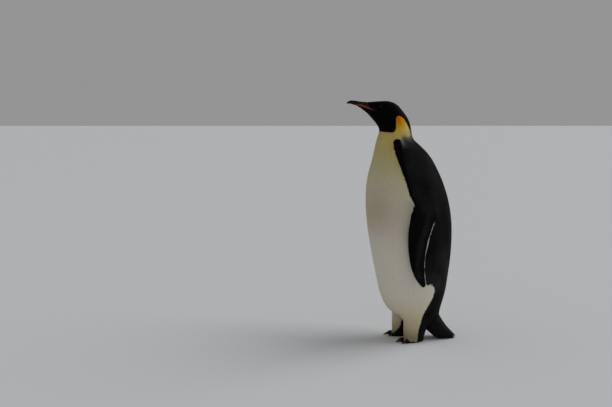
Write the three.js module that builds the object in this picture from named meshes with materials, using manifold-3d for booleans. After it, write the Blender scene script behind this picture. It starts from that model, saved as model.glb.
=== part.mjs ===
// An adult emperor penguin standing at rest, life size, about 1.0 m tall.
// Millimetres, +Z up. The bird faces -Y and its left side is +X. The origin is on the floor,
// at the middle of the bird's box. The body, neck, head and bill are one loft parted by thin cuts;
// the flippers, legs, tail and feet are lofts of their own, trimmed where they meet the body.
import * as THREE from "three";
import { mergeVertices } from "three/addons/utils/BufferGeometryUtils.js";
import Module from "manifold-3d";

const wasm = await Module();
wasm.setup();

// ---- driving dimensions ----
const gap = 0.3; // left between two pieces that touch
const headTurn = THREE.MathUtils.degToRad(-10); // the head looks a little to the bird's right
const turnPivotY = -36; // the neck's axis, which the head turns about
const turnFromZ = 806; // the turn builds up over the neck, from here
const turnToZ = 872; // to here, and the head above it turns as one
const legX = 57; // each leg's distance from the middle plane
const leftLegY = 40; // the left leg's middle, fore and aft
const stride = 27; // the right leg stands this much further forward
const trouserFloor = 12; // the leg feathers end this far above the floor
const footTurnedOut = THREE.MathUtils.degToRad(8);
const toeSpread = THREE.MathUtils.degToRad(25);
const toesFromY = 12; // the toes fan out from here, behind the leg's middle
const eyeRadius = 9;
const eyeAt = new THREE.Vector3(32.4, -96, 974.5);
const farOut = 600; // larger than any piece, for the cutting prisms

// ---- outlines ----
// A station is a cross-section between a front point and a back point of the side view, [y, z] each,
// with its half width, its fullness (2 is an ellipse, more is squarer) and its skew, which makes
// the front side wider if positive.
const station = (front, back, half, fullness = 2, skew = 0) => ({
  front,
  back,
  half,
  fullness,
  skew,
});

const bodyStations = [
  station([14, 97], [110, 86], 50), // vent
  station([-26, 107], [140, 92], 82), // hem of the belly
  station([-57, 125], [157, 109], 101, 2.05),
  station([-77, 154], [164, 142], 114, 2.1), // lower belly and rump
  station([-97, 207], [181, 207], 130, 2.15, -0.03),
  station([-113, 282], [190.5, 282], 147, 2.2, -0.04),
  station([-129, 362], [200, 362], 157, 2.2, -0.04),
  station([-144, 445], [203.5, 440], 159, 2.2, -0.05), // widest
  station([-153.5, 525], [201.5, 507], 156, 2.2, -0.06),
  station([-157, 605], [190, 582], 147, 2.2, -0.07), // front of the breast
  station([-153, 668], [167.5, 658], 132, 2.2, -0.08),
  station([-144, 712], [141.5, 718], 115, 2.15, -0.08), // shoulders
  station([-132.5, 755], [111, 773], 93, 2.1, -0.06),
  station([-123.5, 797], [69.5, 817], 70.5, 2.05, -0.03), // foot of the neck
  station([-114, 838], [38, 845], 58, 2),
  station([-101.5, 876], [31, 881], 54.5, 2), // throat
  station([-109, 897], [20, 922], 52.5, 2, 0.03),
  station([-122, 915], [-11, 966], 49, 2.05, 0.07), // nape
  station([-138, 933.5], [-53, 997.5], 42.5, 2.1, 0.1), // crown
  station([-150, 947], [-98, 1000], 34.5, 2.15, 0.12),
  station([-164, 958.5], [-138, 997], 21, 2.15, 0.14), // lores
  station([-182, 972], [-172, 997], 11.8, 2.15, 0.15),
  station([-200, 982], [-197, 1001], 8.4, 2.15, 0.15), // middle of the bill
  station([-217, 987.5], [-219, 1003], 6.4, 2.1, 0.1),
  station([-229, 989.5], [-231, 999], 4.2, 2.1),
  station([-236.5, 989], [-238, 992.5], 1.6), // tip of the bill
];

const tailStations = [
  station([40, 84], [118, 150], 60),
  station([84, 52], [150, 118], 57),
  station([108, 34], [162, 96], 52),
  station([130, 13], [175, 76], 48, 2.1),
  station([152, -5], [191, 55], 44, 2.2),
  station([184, -5], [209, 36], 39, 2.3),
  station([210, -4], [225, 21], 31, 2.3),
  station([229, -2], [237, 9], 18, 2.2),
];

// The flipper's front is its leading edge. The middle lies this far out, and the edges curl in.
const flipperStations = [
  { ...station([42, 690], [92, 656], 11, 2.2, 0.3), x: 103, cup: 3 }, // shoulder
  { ...station([24, 642], [105, 606], 13, 2.2, 0.35), x: 125, cup: 5 },
  { ...station([12, 594], [110, 560], 13, 2.2, 0.4), x: 143.5, cup: 6 },
  { ...station([4, 548], [105, 522], 11.5, 2.2, 0.42), x: 159, cup: 6 },
  { ...station([-8, 504], [92, 490], 9.5, 2.3, 0.45), x: 170, cup: 5 }, // elbow
  { ...station([-14.5, 460], [79, 460], 8, 2.3, 0.45), x: 176.5, cup: 4 },
  { ...station([-14, 415], [69, 417], 7, 2.3, 0.45), x: 178.5, cup: 4 }, // wrist
  { ...station([-9, 368], [60, 372], 6, 2.3, 0.45), x: 178, cup: 3 },
  { ...station([1, 325], [57, 329], 5.2, 2.3, 0.4), x: 176, cup: 2.5 },
  { ...station([17, 287], [62, 289], 4.4, 2.3, 0.35), x: 173, cup: 2 },
  { ...station([36, 260], [65, 264], 3.6, 2.2, 0.25), x: 170, cup: 1 },
  { ...station([50, 247], [61, 251], 2.4, 2, 0), x: 169, cup: 0 }, // tip
];

// Each leg, as seen about its own middle, from the trouser's hem up into the belly.
const legStations = [
  station([-37, trouserFloor], [36, trouserFloor], 31, 2.2),
  station([-43, 22], [43, 20], 36, 2.2),
  station([-44, 46], [48, 42], 39, 2.2),
  station([-45, 74], [60, 68], 40, 2.1),
  station([-47, 108], [78, 100], 42, 2.1),
  station([-50, 146], [84, 138], 42, 2),
];

// The middle toe and its claw, lying along -Y, by their undersides and tops.
const toeStations = [
  station([16, -3], [16, 22], 13, 2.2),
  station([-8, -3], [-8, 21], 12, 2.2),
  station([-22, -3], [-22, 20.5], 13, 2.2), // knuckle
  station([-35, -3], [-35, 16.5], 10.5, 2.2),
  station([-46, -3], [-46, 17.5], 11.5, 2.2), // knuckle
  station([-56, -1.5], [-55, 14], 9, 2.1),
  station([-61, 1], [-60, 10], 5),
];
const clawStations = [
  station([-48, 3.5], [-48, 11], 3.6),
  station([-57, 3], [-56, 13.5], 5),
  station([-66, 2.2], [-64, 13], 4.6),
  station([-74, 1.2], [-72, 8.5], 3.2),
  station([-80, 0.7], [-79, 3.2], 1.2),
];
const webStations = [
  station([16, -3], [16, 16], 30, 2.6),
  station([-14, -3], [-14, 11], 31, 2.6),
  station([-34, -3], [-33, 5], 32, 2.8),
];
const heelStations = [
  station([40, 3], [38, 20], 15),
  station([30, -3], [28, 30], 23, 2.2),
  station([8, -3], [6, 34], 28, 2.2),
  station([-14, -3], [-12, 24], 29, 2.3),
];

// The bill's parting lines in the side view.
const gapeLine = [
  [-222, 990.5],
  [-206, 987.5],
  [-188, 987.6],
  [-172, 985.3],
  [-155, 979.3],
  [-139, 971.8],
  [-124, 965.4],
  [-113, 962],
];
const plateUnderside = [
  [-113, 959.5],
  [-127, 960],
  [-141, 964],
  [-156, 970.2],
  [-174, 977.2],
  [-190, 982.4],
  [-206, 986],
];
const culmenFeathersY = -164; // the forehead's feathers end here on top of the bill
const sideFeathersY = -139; // and here beside the gape
const chinFeathersY = -186; // the chin's feathers reach this far under the lower bill
const plateThick = 0.9; // of the bright plate on each side of the lower bill

// ---- makers ----

// A closed shell with rings of points round the stations, evened out by splines.
function loft(stations, { rings, sides, grow = 0 }) {
  const curve = (pick) =>
    new THREE.SplineCurve(stations.map((s) => new THREE.Vector2(...pick(s))));
  const front = curve((s) => s.front);
  const back = curve((s) => s.back);
  const size = curve((s) => [s.half, s.fullness]);
  const bend = curve((s) => [s.x ?? 0, s.cup ?? 0]);
  const lean = curve((s) => [s.skew, 0]);
  const points = [];
  for (let i = 0; i < rings; i++) {
    const t = i / (rings - 1);
    const middle = front.getPoint(t).add(back.getPoint(t)).multiplyScalar(0.5);
    const reach = front.getPoint(t).sub(middle);
    reach.setLength(reach.length() + grow);
    const { x: half, y: fullness } = size.getPoint(t);
    const { x: middleX, y: cup } = bend.getPoint(t);
    const skew = lean.getPoint(t).x;
    const round = (value) => Math.sign(value) * Math.abs(value) ** (2 / fullness);
    for (let j = 0; j < sides; j++) {
      const angle = (2 * Math.PI * j) / sides;
      const along = round(Math.cos(angle));
      const across = round(Math.sin(angle)) * (1 + skew * along);
      points.push(
        middleX + (half + grow) * across - cup * along ** 2,
        middle.x + reach.x * along,
        middle.y + reach.y * along,
      );
    }
  }
  for (const ring of [0, rings - 1]) {
    const pole = [0, 0, 0];
    for (let k = 0; k < 3 * sides; k++) pole[k % 3] += points[3 * sides * ring + k] / sides;
    points.push(...pole);
  }
  const faces = [];
  const [firstPole, lastPole] = [rings * sides, rings * sides + 1];
  for (let j = 0; j < sides; j++) {
    const next = (j + 1) % sides;
    for (let i = 0; i < rings - 1; i++) {
      const [a, b] = [i * sides + j, i * sides + next];
      faces.push(a, b, b + sides, a, b + sides, a + sides);
    }
    faces.push(firstPole, next, j);
    faces.push(lastPole, (rings - 1) * sides + j, (rings - 1) * sides + next);
  }
  return new THREE.BufferGeometry()
    .setAttribute("position", new THREE.Float32BufferAttribute(points, 3))
    .setIndex(faces);
}

// A closed geometry, moved by a matrix, as a solid that can be cut and joined.
function solid(geometry, matrix = new THREE.Matrix4()) {
  const shell = geometry.clone().applyMatrix4(matrix);
  shell.deleteAttribute("normal");
  shell.deleteAttribute("uv");
  const merged = mergeVertices(shell, 1e-4);
  const vertProperties = merged.attributes.position.array;
  const facing = (triVerts) =>
    new wasm.Manifold(new wasm.Mesh({ numProp: 3, vertProperties, triVerts }));
  const triVerts = new Uint32Array(merged.index.array);
  const made = facing(triVerts);
  return made.volume() > 0 ? made : facing(triVerts.reverse());
}

const moved = (x, y, z) => new THREE.Matrix4().makeTranslation(x, y, z);
const scaled = (x, y, z) => new THREE.Matrix4().makeScale(x, y, z);
const turned = (angle) => new THREE.Matrix4().makeRotationZ(angle);

// Everything inside an outline of the side view, [y, z] points, between two distances from the middle.
function prism(outline, fromX = -farOut, toX = farOut) {
  const shape = new THREE.Shape(outline.map((p) => new THREE.Vector2(...p)));
  const slab = new THREE.ExtrudeGeometry(shape, { depth: toX - fromX, bevelEnabled: false });
  const [x, y, z] = [0, 1, 2].map((axis) => new THREE.Vector3().setComponent(axis, 1));
  return solid(slab, moved(fromX, 0, 0).multiply(new THREE.Matrix4().makeBasis(y, z, x)));
}

// The outline with every side moved outwards by a distance.
function grownOutline(outline, distance) {
  const points = outline.map((p) => new THREE.Vector2(...p));
  const turn = Math.sign(THREE.ShapeUtils.area(points));
  const outward = (from, to) => {
    const side = to.clone().sub(from).normalize();
    return new THREE.Vector2(side.y, -side.x).multiplyScalar(turn);
  };
  return points.map((p, i) => {
    const before = outward(points.at(i - 1), p);
    const corner = before.add(outward(p, points[(i + 1) % points.length]));
    return p.clone().addScaledVector(corner, (2 * distance) / corner.lengthSq()).toArray();
  });
}

const underFloor = prism([
  [-farOut, -farOut],
  [farOut, -farOut],
  [farOut, 0],
  [-farOut, 0],
]);

// The space above a line of the side view, between two of its points.
const above = ([y0, z0], [y1, z1], lift = 0) => {
  const slope = (z1 - z0) / (y1 - y0);
  const at = (y) => z0 + slope * (y - y0) + lift;
  return prism([
    [-farOut, at(-farOut)],
    [farOut, at(farOut)],
    [farOut, 3 * farOut],
    [-farOut, 3 * farOut],
  ]);
};

// Turns the points above the neck about its axis, more with height until turnToZ.
function turnHead(geometry) {
  const points = geometry.attributes.position;
  for (let i = 0; i < points.count; i++) {
    const rise = THREE.MathUtils.smoothstep(points.getZ(i), turnFromZ, turnToZ);
    const [cos, sin] = [Math.cos(headTurn * rise), Math.sin(headTurn * rise)];
    const [x, y] = [points.getX(i), points.getY(i) - turnPivotY];
    points.setXY(i, x * cos - y * sin, turnPivotY + x * sin + y * cos);
  }
  return geometry;
}

const bird = new THREE.Group();
function piece(name, made, material) {
  const { numProp, vertProperties, triVerts } = made.getMesh();
  if (numProp !== 3) throw new Error(name + " has more than positions");
  const geometry = new THREE.BufferGeometry()
    .setAttribute("position", new THREE.Float32BufferAttribute(vertProperties, 3))
    .setIndex(new THREE.BufferAttribute(triVerts, 1));
  turnHead(geometry).computeVertexNormals();
  const mesh = new THREE.Mesh(geometry, material);
  mesh.name = name;
  bird.add(mesh);
}

const finish = (color, roughness) =>
  new THREE.MeshStandardMaterial({ color, roughness, metalness: 0 });
const blackFeather = finish(0x101013, 0.6);
const slateFeather = finish(0x24262b, 0.7);
const creamFeather = finish(0xd9d4c2, 0.8);
const whiteFeather = finish(0xe4e0d4, 0.8);
const horn = finish(0x17161a, 0.35);
const plateHorn = finish(0xb4562e, 0.4);
const scalySkin = finish(0x1c1b1d, 0.6);
const claw = finish(0x121113, 0.35);
const darkEye = finish(0x0c0908, 0.1);

// ---- body, neck and head ----
const bodyDetail = { rings: 50, sides: 28 };
const bodyGrown = (grow) => solid(loft(bodyStations, { ...bodyDetail, grow }));
const body = bodyGrown(0);
const bodyClearance = bodyGrown(gap);

const neckFoot = [
  [-128, 768],
  [84, 802],
];
const neckTop = [
  [-101, 880],
  [31, 889],
];
const trunk = body.subtract(above(...neckFoot));
const neck = body.intersect(above(...neckFoot, gap)).subtract(above(...neckTop));
piece("trunk", trunk, whiteFeather);
piece("neck", neck, creamFeather);

// ---- bill ----
const tipFromY = gapeLine[0][0]; // the upper bill hooks over the lower one in front of this
const hornGape = gapeLine.filter(([y]) => y <= sideFeathersY);
const upperOutline = [
  ...hornGape,
  [culmenFeathersY, 1010],
  [culmenFeathersY, 1100],
  [-farOut, 1100],
  [-farOut, 900],
  [tipFromY, 900],
];
const lowerOutline = [...hornGape, [chinFeathersY, 940], [tipFromY, 940]];
const upperClearance = prism(grownOutline(upperOutline, gap));
const lowerClearance = prism(grownOutline(lowerOutline, gap));
piece("bill_upper", body.intersect(prism(upperOutline)), horn);
piece("bill_lower", body.intersect(prism(lowerOutline)).subtract(upperClearance), horn);

const plateOutline = [...gapeLine.slice(1), ...plateUnderside];
const plateShell = bodyGrown(gap + plateThick).subtract(bodyClearance);

// ---- pieces on both sides ----
const legDetail = { rings: 8, sides: 16 };
const toes = [
  { name: "inner", turn: -toeSpread, length: 0.86 },
  { name: "middle", turn: 0, length: 1 },
  { name: "outer", turn: toeSpread, length: 0.92 },
];

let head = body
  .intersect(above(...neckTop, gap))
  .subtract(upperClearance)
  .subtract(lowerClearance);
let legClearance;

for (const [name, side] of [
  ["left", 1],
  ["right", -1],
]) {
  const mirror = scaled(side, 1, 1);
  const fromX = side > 0 ? 0 : -farOut;
  const plate = plateShell.intersect(prism(plateOutline, fromX, fromX + farOut));
  piece("bill_plate_" + name, plate, plateHorn);

  const eyePlace = mirror.clone().multiply(moved(...eyeAt));
  const eyeball = (radius) => solid(new THREE.SphereGeometry(radius, 12, 9), eyePlace);
  piece("eye_" + name, eyeball(eyeRadius), darkEye);
  head = head.subtract(eyeball(eyeRadius + gap));

  const flipper = solid(loft(flipperStations, { rings: 16, sides: 14 }), mirror);
  piece("flipper_" + name, flipper.subtract(bodyClearance), slateFeather);

  const legPlace = moved(side * legX, side > 0 ? leftLegY : leftLegY - stride, 0).multiply(mirror);
  const leg = (grow, drop = 0) =>
    solid(loft(legStations, { ...legDetail, grow }), moved(0, 0, -drop).multiply(legPlace));
  piece("leg_" + name, leg(0).subtract(bodyClearance), whiteFeather);
  legClearance = legClearance ? legClearance.add(leg(gap)) : leg(gap);

  const footPlace = legPlace.clone().multiply(turned(footTurnedOut));
  let foot = solid(loft(heelStations, { rings: 5, sides: 10 }), footPlace);
  foot = foot.add(solid(loft(webStations, { rings: 4, sides: 10 }), footPlace));
  let clawClearance;
  for (const toe of toes) {
    const toePlace = footPlace
      .clone()
      .multiply(moved(0, toesFromY, 0))
      .multiply(turned(toe.turn))
      .multiply(scaled(1, toe.length, 1))
      .multiply(moved(0, -toesFromY, 0));
    const nail = (grow) => solid(loft(clawStations, { rings: 6, sides: 8, grow }), toePlace);
    piece(["claw", name, toe.name].join("_"), nail(0), claw);
    clawClearance = clawClearance ? clawClearance.add(nail(gap)) : nail(gap);
    foot = foot.add(solid(loft(toeStations, { rings: 8, sides: 8 }), toePlace));
  }
  foot = foot.subtract(clawClearance).subtract(leg(gap, gap)).subtract(underFloor);
  piece("foot_" + name, foot, scalySkin);
}
piece("head", head, blackFeather);

// ---- tail ----
const tail = solid(loft(tailStations, { rings: 10, sides: 16 }))
  .subtract(underFloor)
  .subtract(bodyClearance)
  .subtract(legClearance);
piece("tail", tail, blackFeather);

export default bird;
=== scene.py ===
import math
import bmesh
import bpy
import numpy as np
from mathutils import Matrix, Vector, noise
from mathutils.bvhtree import BVHTree


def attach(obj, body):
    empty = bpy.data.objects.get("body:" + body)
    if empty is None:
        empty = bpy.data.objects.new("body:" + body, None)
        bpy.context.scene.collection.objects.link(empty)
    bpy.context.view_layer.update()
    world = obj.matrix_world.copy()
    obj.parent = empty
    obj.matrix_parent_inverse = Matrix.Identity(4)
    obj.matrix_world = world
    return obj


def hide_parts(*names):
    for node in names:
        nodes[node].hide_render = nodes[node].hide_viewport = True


# An adult emperor penguin: one skin over the flesh, a coat of separate feathers over the skin,
# and horn, eyes and claws of their own. Metres, +Z up, the bird faces -Y and its left is +X.
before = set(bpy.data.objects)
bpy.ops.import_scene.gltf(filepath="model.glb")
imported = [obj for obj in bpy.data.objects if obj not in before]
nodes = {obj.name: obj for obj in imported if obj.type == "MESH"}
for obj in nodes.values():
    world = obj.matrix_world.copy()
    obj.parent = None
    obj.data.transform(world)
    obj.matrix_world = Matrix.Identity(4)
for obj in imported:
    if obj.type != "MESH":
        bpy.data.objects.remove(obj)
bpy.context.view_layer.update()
random = np.random.default_rng(7)
mm = 0.001
sides = ("left", "right")
flippers = ["flipper_left", "flipper_right"]
feet = ["foot_left", "foot_right"]

# The view, the floor and the light.
studio = {
    "cameraAt": (3.4914, -0.7141, 0.9010),
    "looksAlong": (-0.991932, 0.087262, -0.091962),
    "lens": 50.0,
    "sensor": 36.0,
    "sees": 3000,
    "floorHalf": 900.0,
    "floorTone": (0.74, 0.755, 0.78),
    "floorRoughness": 0.85,
    "skyTone": (0.300, 0.300, 0.300),
    "keyFrom": (-0.3, 2.1, 1.8),
    "keyStrength": 1.35,
    "keySpread": 55.0,
}


def towards(direction):  # the turn that points a camera or a lamp that way
    return Vector(direction).to_track_quat("-Z", "Y").to_euler()


def laidFloor():
    shape = bmesh.new()
    bmesh.ops.create_grid(shape, x_segments=1, y_segments=1, size=studio["floorHalf"])
    floor = objectFrom(shape, "floor")
    paint, tree = newMaterial("floorPaint")
    setShader(tree, {"Base Color": (*studio["floorTone"], 1), "Roughness": studio["floorRoughness"]})
    floor.data.materials.append(paint)


def setStudio():
    scene = bpy.context.scene
    camera = bpy.data.cameras.new("camera")
    camera.lens = studio["lens"]
    camera.sensor_width = studio["sensor"]
    camera.clip_end = studio["sees"]
    scene.camera = placed("camera", camera)
    scene.camera.location = studio["cameraAt"]
    scene.camera.rotation_euler = towards(studio["looksAlong"])
    scene.world = bpy.data.worlds.new("sky")
    scene.world.use_nodes = True
    sky = scene.world.node_tree.nodes["Background"]
    sky.inputs["Color"].default_value = (*studio["skyTone"], 1)
    scene.view_settings.view_transform = "Standard"
    laidFloor()
    lamp = bpy.data.lights.new("key", "SUN")
    lamp.energy = studio["keyStrength"]
    lamp.angle = math.radians(studio["keySpread"])
    placed("key", lamp).rotation_euler = towards(-Vector(studio["keyFrom"]))


def placed(name, data):
    made = bpy.data.objects.new(name, data)
    bpy.context.collection.objects.link(made)
    return made


def objectFrom(shape, name):
    mesh = bpy.data.meshes.new(name)
    shape.to_mesh(mesh)
    shape.free()
    return placed(name, mesh)


def evaluated(piece):
    return piece.evaluated_get(bpy.context.evaluated_depsgraph_get())


def smoothShaded(piece):
    piece.data.polygons.foreach_set("use_smooth", np.ones(len(piece.data.polygons), bool))
    piece.data.update()


def rowsOf(items, name, size=3):
    values = np.empty(size * len(items), np.float32)
    items.foreach_get(name, values)
    return values.reshape(-1, size).astype(float)


def pointsOf(mesh):
    return rowsOf(mesh.vertices, "co")


def normalsOf(mesh):
    return rowsOf(mesh.vertex_normals, "vector")


def setPoints(mesh, points):
    mesh.vertices.foreach_set("co", points.astype(np.float32).ravel())
    mesh.update()


def unit(vectors):
    return vectors / np.maximum(np.linalg.norm(vectors, axis=-1, keepdims=True), 1e-12)


def ramp(values, low, high):
    t = np.clip((values - low) / (high - low), 0, 1)
    return t * t * (3 - 2 * t)


def nearestOn(surface, points):  # the nearest places on a surface and its normals there
    found = [surface.find_nearest(point) for point in points.tolist()]
    return (np.array([hit[i] for hit in found]) for i in (0, 1))


def blendTo(first, second, share):
    return first + (second - first) * np.asarray(share)[..., None]


def newMaterial(name):
    material = bpy.data.materials.new(name)
    material.use_nodes = True
    return material, material.node_tree


def finished(piece, slot, *replaced):
    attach(piece, "root")
    if replaced:
        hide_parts(*replaced)


# How far the head turns, and over which part of the neck.
headTurn = {"angle": math.radians(-10), "pivotY": -0.036, "fromZ": 0.806, "toZ": 0.872}


def swung(points, share):
    angle = headTurn["angle"] * share * ramp(points[:, 2], headTurn["fromZ"], headTurn["toZ"])
    x, y = points[:, 0], points[:, 1] - headTurn["pivotY"]
    cos, sin = np.cos(angle), np.sin(angle)
    return np.stack([x * cos - y * sin, x * sin + y * cos + headTurn["pivotY"], points[:, 2]], 1)


def straightened(points):  # millimetres, as if the head looked straight ahead
    return swung(points, -1) / mm


def turnedDirections(directions, points):
    tips = directions.copy()
    tips[:, 1] += headTurn["pivotY"]
    tips[:, 2] = points[:, 2]
    turned = swung(tips, 1)
    turned[:, 1] -= headTurn["pivotY"]
    turned[:, 2] = directions[:, 2]
    return turned


# Outlines are [y, z] in millimetres in the side view, with the head straight.
throatEdge = [[-160, 877], [-101, 873], [-82, 871], [-58, 868.5], [-43, 869], [-35, 877]]
earPatchEdge = [[-32.5, 890], [-32, 908], [-32.3, 924], [-29, 934], [-21.5, 938], [-9, 932],
                [0, 923], [8, 909], [16, 893], [24, 876], [28, 858]]
napeEdge = [[19, 848], [10, 849], [3, 853], [-4, 852], [-10, 847], [-14, 839], [-15.5, 829]]
bandTop = [[-17, 834], [-22, 841], [-31, 843.5], [-42, 840.5], [-51, 832], [-54, 818]]
shoulderEdge = [[-53.5, 800], [-47, 775], [-38, 744], [-28, 712], [-18, 681], [-7.5, 641],
                [0, 613], [8, 597], [14, 582]]
underFlipperEdge = [[22, 560], [34, 500], [42, 420], [46, 330], [50, 262], [58, 254]]
flankEdge = [[75, 252], [96, 249], [106, 241], [110, 226], [105, 199], [96, 178], [82, 152],
             [71, 126], [62, 95], [53, 61], [49, 36], [47, -40]]
paleOutline = [*throatEdge, *earPatchEdge, *napeEdge, *bandTop, *shoulderEdge,
               *underFlipperEdge, *flankEdge, [-400, -40], [-400, 877]]

tones = {
    "hood": (0.0026, 0.0024, 0.0025),
    "band": (0.0018, 0.0018, 0.0020),
    "slate": (0.0072, 0.0073, 0.0077),
    "slateTip": (0.0340, 0.0350, 0.0375),
    "flipper": (0.0060, 0.0061, 0.0065),
    "tail": (0.0060, 0.0060, 0.0062),
    "orange": (0.70, 0.165, 0.002),
    "amber": (0.72, 0.40, 0.004),
    "yellow": (0.74, 0.53, 0.075),
    "cream": (0.72, 0.62, 0.36),
    "grey": (0.46, 0.45, 0.42),
    # the warm painted shade on the middle of the breast
    "breastShade": (0.52, 0.42, 0.31),
    "flipperPale": (0.66, 0.62, 0.54),
    "footSkin": (0.0060, 0.0054, 0.0056),
}
tones = {name: np.array(tone) for name, tone in tones.items()}

# The pale front by height, from the legs' hems up to the throat. The lowest rows are darker: partly
# staining of the hems, partly painted shade near the ground.
paleHeights = [22, 70, 130, 200, 350, 440, 520, 600, 680, 740, 800, 870]
paleByHeight = {
    "red": [0.36, 0.63, 0.76, 0.81, 0.79, 0.74, 0.68, 0.67, 0.64, 0.59, 0.61, 0.64],
    "green": [0.30, 0.545, 0.70, 0.77, 0.75, 0.69, 0.605, 0.605, 0.59, 0.525, 0.515, 0.535],
    "blue": [0.165, 0.335, 0.50, 0.635, 0.63, 0.565, 0.47, 0.46, 0.40, 0.285, 0.215, 0.215],
}

# How far behind its front edge the black band reaches, by height.
bandWidth = {"z": [620, 665, 700, 735, 770, 820], "mm": [13, 12, 15, 20, 28, 31]}


def depthInside(outline, y, z):  # millimetres inside an outline, negative outside
    start = np.array(outline, float)
    end = np.roll(start, -1, 0)
    run = end - start
    away = np.stack([y, z], 1)[:, None] - start
    along = np.clip((away * run).sum(-1) / (run * run).sum(-1), 0, 1)
    distance = np.linalg.norm(away - along[..., None] * run, axis=-1).min(1)
    spanned = (start[:, 1] <= z[:, None]) != (end[:, 1] <= z[:, None])
    rise = np.where(run[:, 1] == 0, 1, run[:, 1])
    crossing = start[:, 0] + run[:, 0] * (z[:, None] - start[:, 1]) / rise
    inside = (spanned & (y[:, None] < crossing)).sum(1) % 2 == 1
    return np.where(inside, distance, -distance)


# On the inner side of the left leg everything behind this line is dark. The right leg stands ahead.
innerLegEdge = {"z": [12, 25, 47, 75], "y": [2, 11, 25, 30]}
stride = 27

# Where each shade or coat starts and where it is full, in millimetres: Z by height, Y along the bird,
# X from its middle, and depth inside the pale outline. innerSideX is of the unit normal.
spans = {
    "nearBandZ": (580, 740),
    "flipperShadowZ": (400, 450), "flipperShadowEndZ": (580, 610),
    "throatZ": (835, 868), "throatY": (-62, -34),
    "patchZ": (856, 884), "patchY": (-48, -36),
    "amberZ": (884, 918), "orangeZ": (888, 922), "orangeY": (-22, -3),
    "creamZ": (850, 868), "creamEndZ": (900, 925), "creamY": (0, 14),
    "lowerBackZ": (190, 235), "lowerBackEndZ": (300, 420),
    "wornZ": (450, 560), "hoodZ": (846, 872),
    "bandZ": (540, 600), "bandEndY": (-21, -16), "bandEndZ": (775, 800),
    "napeX": (10, 26), "napeY": (-2, 12), "napeZ": (800, 830),
    "greyY": (-21.5, -16), "greyZ": (796, 812), "greyEndZ": (868, 890), "greyDepth": (-9, 5),
    "strideEndZ": (85, 150), "innerLegEndZ": (68, 80),
    "shoulderZ": (500, 600), "shoulderY": (0, 55), "tailZ": (60, 130),
    "paleEdge": (-1.25, 1.25),
    "flipperMiddleZ": (255, 300), "innerSideX": (-0.60, -0.25), "innerSideEndZ": (540, 600),
    "innerPaleZ": (262, 285), "innerPaleY": (8, 16),
    "lineEndY": (3.4, 4.6), "lineZ": (254, 266), "lineEndZ": (496, 514),
    "neckCoatZ": (780, 815), "headCoatZ": (838, 862), "faceCoatY": (96, 124), "faceCoatZ": (925, 945),
    "flipperCoatEndZ": (520, 635), "legCoatEndZ": (92, 128), "tailCoatY": (92, 126),
}
shades = {
    "nearBand": (0.12, 0.20, 0.42), "nearBandReach": 20,
    "breastShade": 0.72, "breastShadeAt": (-130, 555), "breastShadeSize": (55, 85),
    "flipperShadow": 0.24, "flipperShadowReach": 16,
    "throat": 0.6, "creamNape": 0.6, "orangeFront": 0.85,
    "lowerBack": 1.2, "mottle": 0.55, "mottleScale": 0.024,
    "worn": (0.5, 0.15, -0.15), "wornScale": 0.013, "wornFrom": 300,
    "grey": 0.7, "greyInside": 6, "greyOutside": 8,
}


def fade(values, name):
    return ramp(values, *spans[name])


def paleDepth(points):
    x, y, z = straightened(points).T
    ahead = stride * (x < 0) * (1 - fade(z, "strideEndZ"))
    return depthInside(paleOutline, y + ahead, z)


def paleTone(y, z, depth):
    pale = np.stack([np.interp(z, paleHeights, values) for values in paleByHeight.values()], 1)
    # Along the black band's edge the pale is darker and yellower: partly painted shade near the edge,
    # partly the feathers' own yellow.
    nearBand = np.exp(-np.maximum(depth, 0) / shades["nearBandReach"]) * fade(z, "nearBandZ")
    pale = pale * (1 - nearBand[:, None] * np.array(shades["nearBand"]))
    # A warm painted shade darkens the middle of the breast, where less light falls on it.
    (shadeY, shadeZ), (deep, tall) = shades["breastShadeAt"], shades["breastShadeSize"]
    breastShade = np.exp(-((z - shadeZ) / tall) ** 2 - ((y - shadeY) / deep) ** 2)
    pale = blendTo(pale, tones["breastShade"], shades["breastShade"] * breastShade)
    # A painted shadow of the flipper darkens the pale flank just ahead of and under its front edge.
    ahead = np.maximum(np.interp(z, *leadingEdge.values()) - y, 0)
    shaded = np.exp(-ahead / shades["flipperShadowReach"])
    shaded = shaded * fade(z, "flipperShadowZ") * (1 - fade(z, "flipperShadowEndZ"))
    pale = pale * (1 - shades["flipperShadow"] * shaded)[:, None]
    throat = fade(z, "throatZ") * fade(y, "throatY")
    pale = blendTo(pale, tones["yellow"], shades["throat"] * throat)
    patch = fade(z, "patchZ") * fade(y, "patchY")
    pale = blendTo(pale, tones["yellow"], patch)
    pale = blendTo(pale, tones["amber"], patch * fade(z - 0.9 * y, "amberZ"))
    orange = patch * fade(z, "orangeZ") * (1 - shades["orangeFront"] * fade(y, "orangeY"))
    pale = blendTo(pale, tones["orange"], orange)
    creamNape = fade(z, "creamZ") * (1 - fade(z, "creamEndZ")) * fade(y, "creamY")
    return blendTo(pale, tones["cream"], shades["creamNape"] * creamNape)


def darkTone(straight, depth):
    y, z = straight.T[1:]
    lowerBack = 1 + shades["lowerBack"] * fade(z, "lowerBackZ") * (1 - fade(z, "lowerBackEndZ"))
    blotches = mottled(straight, shades["mottleScale"])
    dark = tones["slate"] * (lowerBack * (1 + shades["mottle"] * blotches))[:, None]
    wornBlotches = mottled(straight + shades["wornFrom"], shades["wornScale"])
    worn = np.maximum(wornBlotches, 0) * fade(z, "wornZ")
    dark = dark * (1 + worn[:, None] * np.array(shades["worn"]))
    wide = np.interp(z, *bandWidth.values())
    band = (1 - ramp(-depth, wide - 3, wide + 3)) * fade(z, "bandZ")
    band = band * (1 - fade(y, "bandEndY") * fade(z, "bandEndZ"))
    dark = blendTo(dark, tones["band"], band)
    low, high = spans["hoodZ"]
    slope = 0.35 * (y + 10)
    return blendTo(dark, tones["hood"], ramp(z, low + slope, high + slope))


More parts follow.
